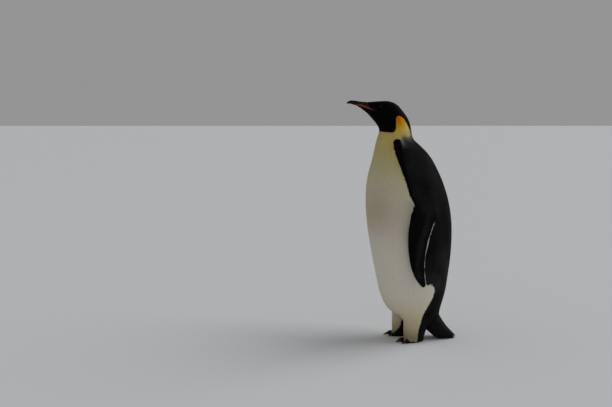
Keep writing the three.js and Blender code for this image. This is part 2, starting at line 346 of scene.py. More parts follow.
# How dark the inner and rear sides of the legs are.
def innerLeg(straight, normals):
    x, y, z = straight.T
    edge = np.interp(z, innerLegEdge["z"], innerLegEdge["y"])
    inward = ramp(-normals[:, 0] * np.sign(x), -0.15, 0.25) * (np.abs(x) < 100)
    return inward * ramp(y + stride * (x < 0) - edge, -3, 3) * (1 - fade(z, "innerLegEndZ"))


# The colour of the plumage at points of the coat, each on one of the parts named below.
def plumage(points, part, normals):
    straight = straightened(points)
    x, y, z = straight.T
    pieces = np.array_split(points, len(points) // 20000 + 1)
    depth = np.concatenate([paleDepth(piece) for piece in pieces])
    pale = paleTone(y, z, depth)
    dark = darkTone(straight, depth)

    # At the foot of the nape the pale fades out into grey instead of ending at an edge.
    share = fade(depth, "paleEdge")
    outside = 0.5 * np.exp(depth / shades["greyOutside"])
    fading = np.where(depth < 0, outside, 1 - 0.5 * np.exp(-depth / shades["greyInside"]))
    greyFade = fade(y, "greyY") * fade(z, "greyZ") * (1 - fade(z, "greyEndZ"))
    share = share + (fading - share) * greyFade
    pale = blendTo(pale, tones["grey"], shades["grey"] * greyFade * fade(-depth, "greyDepth"))
    nape = (1 - fade(np.abs(x), "napeX")) * fade(y, "napeY") * fade(z, "napeZ")
    colour = blendTo(dark, pale, share * (1 - nape))
    colour = blendTo(colour, tones["slate"], innerLeg(straight, normals))

    flipper = np.isin(part, flippers)
    if flipper.any():
        shoulder = fade(z[flipper], "shoulderZ") * fade(y[flipper], "shoulderY")
        tone = flipperTone(straight[flipper], normals[flipper])
        colour[flipper] = blendTo(tone, dark[flipper], shoulder)
    tail = part == "tail"
    colour[tail] = blendTo(colour, tones["tail"], 1 - fade(z, "tailZ"))[tail]
    colour[np.isin(part, feet)] = tones["footSkin"]
    return colour


def mottled(places, scale):  # soft blotches, stretched downwards, about -1 to 1
    places = places * (scale, scale, 0.6 * scale)
    return np.array([noise.fractal(place, 1.0, 2.0, 3) for place in places.tolist()])


# The flipper's edges in the side view, and the pale line along the trailing one.
leadingEdge = {"z": [247, 300, 500, 560], "y": [60, 12, -6, -2]}
trailingEdge = {"z": [247, 264, 300, 341, 390, 442, 482, 514, 560],
                "y": [60, 65, 60, 58, 62, 72, 87, 99, 110]}


def flipperTone(places, normals):
    x, y, z = places.T
    fromTrailing = np.interp(z, *trailingEdge.values()) - y
    middle = np.exp(-((fromTrailing - 31) / 13) ** 2) * fade(z, "flipperMiddleZ")
    tone = tones["flipper"] * ((0.6 + 1.5 * middle) * (1 + 0.4 * mottled(places, 0.03)))[:, None]
    outward = normals[:, 0] * np.sign(x)
    inner = (1 - fade(outward, "innerSideX")) * (1 - fade(z, "innerSideEndZ"))
    line = (1 - fade(fromTrailing, "lineEndY")) * fade(z, "lineZ") * (1 - fade(z, "lineEndZ"))
    fromLeading = y - np.interp(z, *leadingEdge.values())
    innerPale = inner * fade(z, "innerPaleZ") * fade(fromLeading, "innerPaleY")
    tone = blendTo(tone, tones["flipperPale"] * 1.15, innerPale)
    return blendTo(tone, tones["flipperPale"], line)


# Each kind of feather in millimetres: how far apart, how long, how wide, and how deep the coat is.
# The tail's quills are laid in rows instead.
feathers = {
    "face": (1.3, 4.4, 2.1, 0.6), "hood": (1.8, 7.0, 2.9, 1.0), "neck": (2.3, 10, 4.8, 1.3),
    "body": (2.9, 18, 6.2, 1.8), "flipper": (2.2, 7, 3.6, 0.8), "leg": (2.5, 12, 4.8, 1.5),
    "tail": (0, 0, 0, 5.0), "foot": (1.8, 2.9, 2.4, 0.5),
}
sizes = ("spacing", "length", "width", "depth")
feathers = {kind: {size: value * mm for size, value in zip(sizes, values)}
            for kind, values in feathers.items()}


# How much each kind of feather covers each point of the skin.
def coverage(points, part):
    y, z = straightened(points).T[1:]
    share = {kind: np.zeros(len(points)) for kind in feathers}
    neck, head = fade(z, "neckCoatZ"), fade(z, "headCoatZ")
    share["body"] = 1 - neck
    share["neck"] = neck * (1 - head)
    front = fade(-y, "faceCoatY") * fade(z, "faceCoatZ")
    share["face"] = head * front
    share["hood"] = head * (1 - front)

    def give(kind, amount):
        for other in feathers:
            share[other] = share[other] * (1 - amount)
        share[kind] = share[kind] + amount

    give("flipper", np.isin(part, flippers) * (1 - fade(z, "flipperCoatEndZ")))
    give("leg", 1 - fade(z, "legCoatEndZ"))
    give("tail", (part == "tail") * fade(y - 0.45 * z, "tailCoatY"))
    give("foot", np.isin(part, feet).astype(float))
    give("face", np.isin(part, flesh["bill"]).astype(float))
    return share


# The chin's feathers run forward under the bright plates of the lower bill.
chin = {
    "y": [-206, -190, -174, -156, -141],
    "z": [984.5, 982.4, 977.4, 971.0, 965.8],
    "frontY": (-208, -199),
}


def onChin(points):
    y, z = straightened(points).T[1:]
    below = np.interp(y, chin["y"], chin["z"]) - z
    return ramp(below, 0.2, 1.6) * ramp(y + 0.9 * np.minimum(below - 9, 0), *chin["frontY"])


# The way the feathers lie, along the skin at each point.
def lie(points, normals, part):
    y, z = straightened(points).T[1:]
    share = ramp(z, 868, 965)
    down = np.zeros((len(points), 3))
    down[:, 1] = 0.12 + 0.88 * share
    down[:, 2] = -1 + 0.72 * share
    down[np.isin(part, flippers)] = (0, 0.22, -1)
    rump = ramp(y, 90, 150) * (1 - ramp(z, 120, 260))
    down = blendTo(down, np.array([0, 0.75, -0.66]), rump)
    down[part == "tail"] = (0, 0.80, -0.60)
    down[(part == "tail") & (z < 22)] = (0, 1, -0.04)
    down[np.isin(part, feet)] = (0, -1, -0.25)
    directions = turnedDirections(unit(down), points)
    for side in sides:  # round the eyes
        away = points - eyeFrame(side)[0]
        near = 1 - ramp(np.linalg.norm(away, axis=1), 0.010, 0.017)
        away = unit(away - normals * (away * normals).sum(1)[:, None])
        inward = np.minimum((directions * away).sum(1), 0) * near
        directions = directions - away * inward[:, None]
    directions -= normals * (directions * normals).sum(1)[:, None]
    return unit(directions)


# The skin and how it is made from the solids.
flesh = {
    "parts": ["trunk", "neck", "head", "tail", *flippers, "leg_left", "leg_right", *feet],
    "bill": ["bill_upper", "bill_lower"],
    "overlap": 0.4 * mm, "underHorn": 0.9 * mm, "mostSunk": 6 * mm, "rest": 0.2 * mm,
    "voxel": 3.0 * mm, "keptShare": 0.56, "rounds": 100, "coverGain": 1.7,
    "tailFrom": 0.17, "tailShare": 0.5,
}

# How strongly relaxing rounds the skin, with heights in millimetres.
softness = {
    "least": 0.05, "body": 0.45, "bodyFrom": (50, 120), "bodyTo": (790, 850),
    "head": 0.10, "face": 0.04, "small": 0.02, "joints": 0.5, "lift": 0.5,
}
crown = {"y": -39, "z": 970, "lift": 4.2 * mm, "reach": 21}


def mergedCopy(names, grow, joined=None):
    joined = joined or bmesh.new()
    for name in names:
        part = bmesh.new()
        part.from_mesh(nodes[name].data)
        bmesh.ops.remove_doubles(part, verts=part.verts, dist=1e-5)
        part.normal_update()
        for vert in part.verts:
            vert.co += vert.normal * grow
        copy = bpy.data.meshes.new(name + "Copy")
        part.to_mesh(copy)
        part.free()
        joined.from_mesh(copy)
        bpy.data.meshes.remove(copy)
    return joined


def remeshed(shape, name, voxel):
    rough = objectFrom(shape, name + "Rough")
    remesh = rough.modifiers.new("remesh", "REMESH")
    remesh.mode = "VOXEL"
    remesh.voxel_size = voxel
    mesh = bpy.data.meshes.new_from_object(evaluated(rough))
    bpy.data.objects.remove(rough)
    mesh.name = name
    return placed(name, mesh)


def neighbours(mesh):
    edges = np.empty(2 * len(mesh.edges), np.int32)
    mesh.edges.foreach_get("vertices", edges)
    first, second = edges.reshape(-1, 2).T
    return np.concatenate([first, second]), np.concatenate([second, first])


def relaxed(mesh, points, rounds, strength):  # strength may differ from point to point
    to, other = neighbours(mesh)
    count = np.maximum(np.bincount(to, minlength=len(points)), 1)
    for _ in range(rounds):
        sums = [np.bincount(to, points[other, axis], len(points)) for axis in range(points.shape[1])]
        points = points + (np.stack(sums, 1) / count[:, None] - points) * strength
    return points


def fleshTree():  # the solids' faces and the node that each face belongs to
    corners, faces, owners = [], [], []
    start = 0
    for name in flesh["parts"] + flesh["bill"]:
        mesh = nodes[name].data
        points = pointsOf(mesh)
        corners.extend(map(tuple, points))
        faces.extend(tuple(start + i for i in face.vertices) for face in mesh.polygons)
        owners.extend([name] * len(mesh.polygons))
        start += len(points)
    return BVHTree.FromPolygons(corners, faces), np.array(owners)


def partOf(points):
    return owners[[solids.find_nearest(point)[2] for point in points.tolist()]]


# How far relaxing has sunk the skin below the trunk, neck and head, evened out.
def sunkBy(mesh, points, part):
    nearest, outward = nearestOn(solids, points)
    sunk = np.clip(((nearest - points) * outward).sum(1), 0, flesh["mostSunk"])
    eyeGap = [np.linalg.norm(points - eyeFrame(side)[0], axis=1) for side in sides]
    amount = ramp(np.minimum(*eyeGap), 0.013, 0.024) * ramp(points[:, 1], -0.160, -0.135)
    amount = np.where(points[:, 2] < 0.86, ramp(points[:, 2], 0.16, 0.22), amount)
    amount = amount * np.isin(part, ["trunk", "neck", "head"])
    return relaxed(mesh, (sunk * amount)[:, None], 60, softness["lift"])


def coatDepth(points, part):
    share = coverage(points, part)
    return sum(share[kind] * feathers[kind]["depth"] for kind in feathers)


def thinned(piece, spare, share):  # fewer faces, except where they are to be spared
    weights = piece.vertex_groups.new(name="thin")
    weights.add(np.flatnonzero(~spare).tolist(), 1.0, "REPLACE")
    thin = piece.modifiers.new("thin", "DECIMATE")
    thin.ratio = share
    thin.vertex_group = "thin"
    mesh = bpy.data.meshes.new_from_object(evaluated(piece))
    piece.modifiers.remove(thin)
    piece.vertex_groups.clear()
    rough = piece.data
    piece.data = mesh
    bpy.data.meshes.remove(rough)


def crownLift(points):  # the back of the crown is full
    y, z = straightened(points).T[1:]
    away = np.hypot(y - crown["y"], z - crown["z"])
    return crown["lift"] * np.exp(-(away / crown["reach"]) ** 2)


def makeSkin():
    shape = mergedCopy(flesh["parts"] + ["eye_left", "eye_right"], flesh["overlap"])
    mergedCopy(["bill_upper"], -flesh["underHorn"], shape)
    mergedCopy(["bill_lower"], flesh["overlap"], shape)
    skin = remeshed(shape, "skin", flesh["voxel"])
    points = pointsOf(skin.data)
    part = partOf(points)
    z = points[:, 2] / mm
    small = np.isin(part, feet + flippers) & (z < 570)
    body = (1 - ramp(z, *softness["bodyTo"])) * ramp(z, *softness["bodyFrom"])
    strength = softness["least"] + softness["body"] * body
    strength[z > 850] = softness["head"]
    strength[(points[:, 1] < -0.12) & (z > 920)] = softness["face"]
    strength[small] = softness["small"]
    points = relaxed(skin.data, points, flesh["rounds"], strength[:, None])
    shoulder = ramp(np.abs(points[:, 0]) / mm, 95, 115) * np.exp(-((z - 650) / 45) ** 2)
    hem = np.exp(-((z - 108) / 26) ** 2) * (part != "tail")
    joints = softness["joints"] * np.maximum(shoulder, hem)
    points = relaxed(skin.data, points, flesh["rounds"], joints[:, None])
    setPoints(skin.data, points)
    points = points + normalsOf(skin.data) * sunkBy(skin.data, points, part)
    points = points + normalsOf(skin.data) * crownLift(points)[:, None]
    tailFrom = flesh["tailFrom"]  # the quills reach on past the flesh
    stump = (part == "tail") & (points[:, 1] > tailFrom)
    points[stump, 1] = tailFrom + (points[stump, 1] - tailFrom) * flesh["tailShare"]
    depth = coatDepth(points, part) + flesh["overlap"]
    setPoints(skin.data, points)
    points = points - normalsOf(skin.data) * depth[:, None]
    points[:, 2] = np.maximum(points[:, 2], flesh["rest"])
    setPoints(skin.data, points)
    spare = small | (z > 860) | (z < 60)
    thinned(skin, spare, flesh["keptShare"])
    return skin


def refine(skin, centres, reach):
    shape = bmesh.new()
    shape.from_mesh(skin.data)
    near = {vert for vert in shape.verts if min((vert.co - c).length for c in centres) < reach}
    edges = [edge for edge in shape.edges if near.issuperset(edge.verts)]
    bmesh.ops.subdivide_edges(shape, edges=edges, cuts=1, use_grid_fill=True, smooth=0)
    shape.to_mesh(skin.data)
    shape.free()


# The eyes, with their openings and lids in the skin, in millimetres.
eyes = {
    "left": {"centre": (21.5, -100.75, 974.5), "side": 1},
    "right": {"centre": (-42.3, -89.45, 974.5), "side": -1},
    "sunk": 0.9, "ballRadius": 8.4, "openLong": 5.4, "openTall": 4.5, "slant": 0.10,
    "lidThick": 0.7, "lidEnds": (1.30, 2.5), "rim": (1.16, 0.13), "bareRing": 1.55,
    "creases": [(1.52, 0.12, 1.0), (1.95, 0.14, 0.6)], "creaseDeep": 0.42,
    "corneaLift": 0.7, "corneaAngles": (0.35, 0.68), "mappedAngle": 1.1,
    "refined": (0.024, 0.016, 0.0115),  # how far round each eye the skin's faces are made finer
}


def eyeFrame(side):  # centre, outward axis, forward and up of one eye, in metres
    eye = eyes[side]
    turn = Matrix.Rotation(headTurn["angle"], 3, "Z")
    outward = turn @ Vector((eye["side"] * 0.955, -0.25, 0.16)).normalized()
    forward = turn @ Vector((0, -1, -0.10))
    forward = (forward - outward * forward.dot(outward)).normalized()
    up = outward.cross(forward) * eye["side"]
    up = up if up.z > 0 else -up
    centre = (Vector(eye["centre"]) - outward * eyes["sunk"]) * mm
    return [np.array(v) for v in (centre, outward, forward, up)]


def eyeRings(points, side, slant=0):  # ring 1 is the edge of the opening, seen from outside
    centre, outward, forward, up = eyeFrame(side)
    away = (points - centre) / mm
    along = away @ forward
    ring = np.hypot(along / eyes["openLong"], (away @ up + along * slant) / eyes["openTall"])
    return np.where(away @ outward > 0, ring, np.inf), away, centre


def lidded(points):
    rimAt, rimWide = eyes["rim"]
    for side in sides:
        ring, away, centre = eyeRings(points, side, eyes["slant"])
        near = ring < 3.2
        span = np.linalg.norm(away, axis=1)
        opening = 1 - ramp(ring, 0.94, 1.06)
        rim = np.exp(-((ring - rimAt) / rimWide) ** 2)
        crease = sum(deep * np.exp(-((ring - at) / wide) ** 2) for at, wide, deep in eyes["creases"])
        lid = eyes["ballRadius"] + eyes["lidThick"] * (0.55 + 0.45 * rim)
        wanted = np.where(ring < 1.06, eyes["ballRadius"] - 1.5 * opening, lid)
        wanted = wanted + (span - wanted) * ramp(ring, *eyes["lidEnds"])
        wanted = wanted - eyes["creaseDeep"] * crease
        moved = centre + unit(away) * wanted[:, None] * mm
        points = np.where(near[:, None], moved, points)
    return points


def openEyes(skin):
    centres = [Vector(eyeFrame(side)[0]) for side in sides]
    for reach in eyes["refined"]:
        refine(skin, centres, reach)
    setPoints(skin.data, lidded(pointsOf(skin.data)))


def unwrapped(piece):  # one unwrap of the skin, which the coat shares
    piece.data.uv_layers.new(name="OFBake")
    bpy.context.view_layer.objects.active = piece
    piece.select_set(True)
    bpy.ops.object.mode_set(mode="EDIT")
    bpy.ops.mesh.select_all(action="SELECT")
    bpy.ops.uv.smart_project(angle_limit=math.radians(70), island_margin=0.0015)
    bpy.ops.object.mode_set(mode="OBJECT")
    piece.select_set(False)


def painted(mesh, name, colours):
    layer = mesh.color_attributes.new(name, "FLOAT_COLOR", "POINT")
    full = np.concatenate([colours, np.ones((len(colours), 1))], 1)
    layer.data.foreach_set("color", full.astype(np.float32).ravel())


def scatterTree(kind, seed):
    spacing = feathers[kind]["spacing"]
    tree = bpy.data.node_groups.new("roots", "GeometryNodeTree")
    for way in ("INPUT", "OUTPUT"):
        tree.interface.new_socket("Geometry", in_out=way, socket_type="NodeSocketGeometry")
    entry = tree.nodes.new("NodeGroupInput")
    leave = tree.nodes.new("NodeGroupOutput")
    scatter = addNode(tree, "GeometryNodeDistributePointsOnFaces", distribute_method="POISSON", Seed=seed)
    scatter.inputs["Distance Min"].default_value = spacing
    scatter.inputs["Density Max"].default_value = 5 / spacing ** 2
    cover = addNode(tree, "GeometryNodeInputNamedAttribute", data_type="FLOAT", Name="cover_" + kind)
    facing = addNode(tree, "GeometryNodeStoreNamedAttribute", data_type="FLOAT_VECTOR", Name="facing")
    asVertices = tree.nodes.new("GeometryNodePointsToVertices")
    link = tree.links.new
    link(entry.outputs[0], scatter.inputs["Mesh"])
    link(cover.outputs["Attribute"], scatter.inputs["Density Factor"])
    link(scatter.outputs["Points"], facing.inputs["Geometry"])
    link(scatter.outputs["Normal"], facing.inputs["Value"])
    link(facing.outputs["Geometry"], asVertices.inputs["Points"])
    link(asVertices.outputs[0], leave.inputs[0])
    return tree


def rootsOf(kind, seed):
    scatter = skin.modifiers.new("roots", "NODES")
    scatter.node_group = scatterTree(kind, seed)
    scattered = evaluated(skin)
    mesh = scattered.to_mesh()
    at = pointsOf(mesh)
    facing = unit(rowsOf(mesh.attributes["facing"].data, "vector"))
    spot = rowsOf(mesh.attributes["OFBake"].data, "vector", 2)
    scattered.to_mesh_clear()
    skin.modifiers.remove(scatter)
    return at, facing, spot, partOf(at)


# A vane is nine points: two at the root, a row of three at the middle, three near the end and a tip.
vane = {
    "along": np.array([0, 0, 0.46, 0.46, 0.46, 0.80, 0.80, 0.80, 1.0]),
    "across": np.array([-0.26, 0.26, -0.5, 0, 0.5, -0.37, 0, 0.37, 0]),
    "ridge": np.array([0, 0, 0, 1, 0, 0, 0.9, 0, 0.0]),
    "rise": np.array([-0.15, -0.15, 0.74, 0.74, 0.74, 0.98, 0.98, 0.98, 0.92]),
    "faces": np.array([[0, 1, 3], [0, 3, 2], [1, 4, 3], [2, 3, 6], [2, 6, 5], [3, 4, 7], [3, 7, 6],
                       [5, 6, 8], [6, 7, 8], [0, 2, 4], [0, 4, 1], [2, 5, 7], [2, 7, 4], [5, 8, 7]]),
    "topFaces": 9,
    "soft": 0.5,  # how far the shading follows the body instead of the single vane
    "patch": 0.003, "rest": 0.15 * mm, "ridgeHigh": 0.045, "shade": 0.04, "spread": 0.09,
    "varies": {"length": 0.18, "width": 0.14, "depth": 0.07},
}


def vaneMesh(name, places, lean, colours, spots):
    count = len(spots)
    faces = (vane["faces"][None] + 9 * np.arange(count)[:, None, None]).reshape(-1, 3)
    mesh = bpy.data.meshes.new(name)
    mesh.vertices.add(9 * count)
    mesh.loops.add(3 * len(faces))
    mesh.polygons.add(len(faces))
    mesh.vertices.foreach_set("co", places.astype(np.float32).ravel())
    mesh.loops.foreach_set("vertex_index", faces.ravel())
    mesh.polygons.foreach_set("loop_start", 3 * np.arange(len(faces)))
    mesh.update(calc_edges=True)
    smooth = np.tile(np.arange(len(vane["faces"])) < vane["topFaces"], count)
    mesh.polygons.foreach_set("use_smooth", smooth)
    mesh.update()
    own = np.empty(9 * len(faces), np.float32)
    mesh.corner_normals.foreach_get("vector", own)
    own = own.reshape(count, -1, 3)
    top = 3 * vane["topFaces"]
    own[:, :top] = unit(own[:, :top] * (1 - vane["soft"]) + lean[:, None] * vane["soft"])
    normals = mesh.attributes.new("custom_normal", "FLOAT_VECTOR", "CORNER")
    normals.data.foreach_set("vector", own.ravel())
    onVane = np.stack([vane["across"] + 0.5, vane["along"]], 1)
    perCorner = np.tile(onVane[vane["faces"].ravel()], (count, 1))
    patch = np.repeat(spots, 3 * len(vane["faces"]), 0) + vane["patch"] * (perCorner - 0.5)
    for layer, values in (("OFBake", np.clip(patch, 0.0005, 0.9995)), ("vane", perCorner)):
        uv = mesh.uv_layers.new(name=layer)
        uv.data.foreach_set("uv", values.astype(np.float32).ravel())
    painted(mesh, "plumage", colours)
    return mesh


def coatPiece(name, places, lean, colours, spots, paint, slot):
    mesh = vaneMesh(name, places, lean, colours.reshape(-1, 3), spots)
    mesh.materials.append(paint)
    finished(placed(name, mesh), slot)
    print(name, len(places), "vanes")


def growVanes(name, roots, kind, paint, slot, **change):
    style = {**feathers[kind], "ridge": vane["ridgeHigh"], "shade": vane["shade"], **change}
    at, facing, spot, part = roots
    count = len(at)
    vary = random.uniform(-1, 1, (count, 6))
    toward = lie(at, facing, part)
    side = np.cross(facing, toward)
    toward = unit(toward + side * (vane["spread"] * vary[:, :1]))
    length, width, depth = (style[size] * (1 + share * vary[:, column])
                            for column, (size, share) in enumerate(vane["varies"].items(), 1))

    reach = at + toward * length[:, None]
    ends, endFacing = nearestOn(skinTree, reach)
    share = vane["along"][None, :, None]
    line = at[:, None] * (1 - share) + ends[:, None] * share
    up = unit(facing[:, None] * (1 - share) + endFacing[:, None] * share)
    run = unit(ends - at)
    side = unit(np.cross(up, np.broadcast_to(run[:, None], up.shape)))
    height = depth[:, None] * vane["rise"] + width[:, None] * style["ridge"] * (vane["ridge"] - 0.5)
    places = line + up * height[..., None] - side * (width[:, None] * vane["across"])[..., None]
    places[..., 2] = np.maximum(places[..., 2], vane["rest"])

    if kind == "flipper":  # the pale line is finer than a feather
        tone = plumage(places.reshape(-1, 3), np.repeat(part, 9), np.repeat(endFacing, 9, 0))
        tone = tone.reshape(count, 9, 3)
    else:
        seen = at + (ends - at) * 0.85
        tone = np.repeat(plumage(seen, part, endFacing)[:, None], 9, 1)
    colours = variedTone(tone, kind, style["shade"], vary[:, 4:])
    lean = unit(facing + endFacing)
    kept = faceOut(places)
    coatPiece(name, places[kept], lean[kept], colours[kept], spot[kept], paint, slot)


def faceOut(places):  # a vane that a sharp edge of the skin would turn inside out is left out
    corners = places[:, vane["faces"]] - places.mean(1)[:, None, None]
    first, second, third = np.moveaxis(corners, 2, 0)
    return (first * np.cross(second, third)).sum((1, 2)) > 0


# Dark feathers differ more than pale ones, and on neck and body they have paler ends. Every vane is also
# painted darker towards its root, dark body feathers most: painted shade where the vanes above cover the
# root.
variety = {
    "darkTones": (-0.2, -0.05), "darkShade": 0.16, "warmth": 0.015, "rootShade": 0.10,
    "darkRootShade": 0.35, "tip": (0.75, 1.0), "tipTone": 0.010, "mostTip": 1.6,
}


def variedTone(tone, kind, shade, vary):
    brightness = tone.mean((1, 2), keepdims=True)
    dark = ramp(-brightness, *variety["darkTones"])
    own, warm = vary.T.reshape(2, -1, 1, 1)
    shade = (shade + variety["darkShade"] * dark) * own
    colours = tone * (1 + shade) * (1 + variety["warmth"] * warm * np.array([1, 0, -1]))
    along = vane["along"].reshape(1, 9, 1)
    tips = (kind in ("body", "neck")) * dark * ramp(along, *variety["tip"])
    tips = np.minimum(tips * brightness / variety["tipTone"], variety["mostTip"])
    # painted shade at the covered root of each vane
    root = variety["darkRootShade"] * dark * (kind == "body")
    return colours * (1 + along * variety["rootShade"] - root) + tones["slateTip"] * tips


# The tail's sections from the rump to the tip: under and upper points [y, z] and half widths.
# Each row of stiff feathers starts and ends at a share of the tail's length.
tail = {
    "under": [[40, 84], [84, 52], [108, 34], [130, 13], [152, -5], [184, -5], [210, -4], [229, -2]],
    "upper": [[118, 150], [150, 118], [162, 96], [175, 76], [191, 55], [209, 36], [225, 21], [237, 9]],
    "half": [60, 57, 52, 48, 44, 39, 31, 18],
    "rows": [(0.34, 1.00, 30, -4.4), (0.26, 0.90, 30, -3.4), (0.16, 0.74, 32, -2.4),
             (0.08, 0.58, 34, -1.4), (0.00, 0.42, 36, -0.6), (-0.02, 0.28, 40, 0.2)],
    "width": 12.5, "shaft": 0.9, "tuck": 4.0, "endRound": 0.13, "rest": 0.3,
    "roundDeep": [60, 20], "roundWide": [45, 12],
}


def onTail(along, turn, lift):  # millimetres
    at = np.linspace(0, 1, len(tail["half"]))
    low, high = (np.stack([np.interp(along, at, axis) for axis in np.transpose(tail[edge])], -1)
                 for edge in ("under", "upper"))
    half = np.interp(along, at, tail["half"])
    depth = np.linalg.norm(high - low, axis=-1) / 2
    rise = (high - low) / 2 * (1 + lift / depth)[..., None] * np.sin(turn)[..., None]
    middle = (high + low) / 2 + rise
    return np.stack([(half + lift) * np.cos(turn), middle[..., 0], middle[..., 1]], -1)


def tailFeathers(paint):
    places, leans = [], []
    for start, end, count, lift in tail["rows"]:
        row = len(places)
        vary = random.uniform(-1, 1, (count, 4))
        turn = 2 * np.pi * (np.arange(count) + 0.5 * (row % 2) + 0.18 * vary[:, 0]) / count
        sideways = np.abs(np.cos(turn)) ** 3
        last = end * (1 - tail["endRound"] * sideways) + 0.025 * vary[:, 1]
        along = start + (last - start)[:, None] * vane["along"]
        around = np.hypot(np.interp(along, [0, 1], tail["roundDeep"]) * np.sin(turn)[:, None],
                          np.interp(along, [0, 1], tail["roundWide"]) * np.cos(turn)[:, None]) + 8
        width = tail["width"] * (1 + 0.12 * vary[:, 2])[:, None]
        turns = turn[:, None] - vane["across"] * width / around
        tuck = tail["tuck"] * (1 - vane["along"]) ** 2
        height = lift + vane["ridge"] * tail["shaft"] - tuck + 0.3 * vary[:, 3:]
        shape = onTail(np.clip(along, 0, 1), turns, height)
        shape[..., 2] = np.maximum(shape[..., 2], tail["rest"] + 0.1 * (vane["ridge"] + row))
        inner = onTail(np.clip(along[:, 3], 0, 1), turn, np.full(count, -12.0))
        places.append(shape * mm)
        leans.append(unit(shape[:, 3] - inner))
    places, leans = np.concatenate(places), np.concatenate(leans)
    tone = tones["tail"] * random.uniform(0.75, 1.3, (len(places), 1, 1))
    colours = tone * (1 + 0.9 * (vane["ridge"] > 0) + 0.5 * vane["along"])[None, :, None]
    spots = np.array([skinSpot(place) for place in places[:, :2].mean(1)])
    coatPiece("coat_tail", places, leans, colours, spots, paint, "tail_feathers")


def skinSpot(place):  # where the nearest point of the skin lies on its unwrap
    loops = skin.data.polygons[skinTree.find_nearest(Vector(place))[2]].loop_indices
    uv = skin.data.uv_layers["OFBake"].uv
    return np.mean([uv[loop].vector[:] for loop in loops], 0) + random.uniform(-0.001, 0.001, 2)


def addNode(tree, kind, **settings):
    node = tree.nodes.new(kind)
    for key, value in settings.items():
        if key in node.inputs:
            node.inputs[key].default_value = value
        else:
            setattr(node, key, value)
    return node


def objectPlace(tree):
    return tree.nodes.new("ShaderNodeTexCoord").outputs["Object"]


def grainOver(tree, where, scale, detail, roughness=0.5):  # from 0 to 1
    grain = addNode(tree, "ShaderNodeTexNoise", Scale=scale, Detail=detail, Roughness=roughness)
    tree.links.new(where, grain.inputs["Vector"])
    return grain.outputs["Fac"]


def barbsOn(tree, scale):  # fine slanting barbs on the vane's own map
    where = addNode(tree, "ShaderNodeUVMap", uv_map="vane")
    barbs = addNode(tree, "ShaderNodeTexWave", Scale=scale, Distortion=1.5)
    barbs.bands_direction = "DIAGONAL"
    tree.links.new(where.outputs["UV"], barbs.inputs["Vector"])
    return barbs.outputs["Fac"]


def between(tree, share, low, high):
    span = tree.nodes.new("ShaderNodeMapRange")
    span.inputs["To Min"].default_value = low
    span.inputs["To Max"].default_value = high
    tree.links.new(share, span.inputs["Value"])
    return span.outputs[0]


def scaledTone(tree, tone, amount):
    product = addNode(tree, "ShaderNodeVectorMath", operation="SCALE")
    tree.links.new(tone, product.inputs[0])
    tree.links.new(amount, product.inputs["Scale"])
    return product.outputs[0]


def toneRamp(tree, share, stops):
    ramps = tree.nodes.new("ShaderNodeValToRGB")
    for index, (at, tone) in enumerate(stops):
        made = ramps.color_ramp.elements
        stop = made[index] if index < 2 else made.new(at)
        stop.position = at
        stop.color = (*tone, 1)
    tree.links.new(share, ramps.inputs["Fac"])
    return ramps.outputs["Color"]


def bumpFrom(tree, height, strength, distance):
    bump = addNode(tree, "ShaderNodeBump", Strength=strength, Distance=distance)
    tree.links.new(height, bump.inputs["Height"])
    return bump.outputs[0]


def setShader(tree, sockets):  # each socket gets a fixed value or another node's output
    inputs = tree.nodes["Principled BSDF"].inputs
    for name, value in sockets.items():
        if isinstance(value, bpy.types.NodeSocket):
            tree.links.new(value, inputs[name])
        else:
            inputs[name].default_value = value


def plumePaint(name, roughness, sheen, grain):
    paint, tree = newMaterial(name)
    tone = addNode(tree, "ShaderNodeAttribute", attribute_name="plumage").outputs["Color"]
    mottle = grainOver(tree, objectPlace(tree), grain, 6.0, 0.6)
    barbs = barbsOn(tree, 9)
    shaded = scaledTone(tree, tone, between(tree, mottle, 0.80, 1.16))
    setShader(tree, {
        "Base Color": scaledTone(tree, shaded, between(tree, barbs, 0.90, 1.05)),
        "Roughness": between(tree, mottle, roughness - 0.08, roughness + 0.08),
        "Normal": bumpFrom(tree, barbs, 0.25, 0.3 * mm),
        "Sheen Weight": sheen,
        "Sheen Roughness": 0.5,
        "Specular IOR Level": 0.02,
    })
    return paint


def downPaint():  # the skin and the down that shows between the feathers
    paint, tree = newMaterial("downPaint")
    tone = addNode(tree, "ShaderNodeAttribute", attribute_name="plumage").outputs["Color"]
    fluff = grainOver(tree, objectPlace(tree), 900.0, 5.0)
    setShader(tree, {
        "Base Color": scaledTone(tree, tone, between(tree, fluff, 0.70, 0.95)),
        "Roughness": 0.85,
        "Normal": bumpFrom(tree, fluff, 0.4, 0.5 * mm),
        "Specular IOR Level": 0.02,
    })
    return paint


def hornPaint(name, kind, roughness, stretch):
    paint, tree = newMaterial(name)
    place = objectPlace(tree)
    spread = tree.nodes.new("ShaderNodeMapping")
    spread.inputs["Scale"].default_value = stretch
    tree.links.new(place, spread.inputs["Vector"])
    grain = grainOver(tree, spread.outputs[0], 260.0, 7.0, 0.62)
    setShader(tree, {
        "Base Color": toneRamp(tree, grainOver(tree, place, 45.0, 3.0), horns[kind]["tones"]),
        "Roughness": between(tree, grain, roughness - 0.10, roughness + 0.14),
        "Normal": bumpFrom(tree, grain, 0.30, 0.4 * mm),
        "Specular IOR Level": 0.14,
    })
    return paint


# The horn of bill, plates and claws.
horns = {
    "bill": {"voxel": 0.5 * mm, "rounds": 9,
             "tones": [(0.0, (0.0035, 0.0033, 0.0036)), (1.0, (0.011, 0.010, 0.010))]},
    "plate": {"voxel": 0.45 * mm, "rounds": 3},
    "claw": {"voxel": 0.6 * mm, "rounds": 4,
             "tones": [(0.0, (0.010, 0.009, 0.009)), (1.0, (0.045, 0.038, 0.033))]},
    "grow": 0.12 * mm,
    "softness": 0.45,
    "underChin": 2.4 * mm,
}
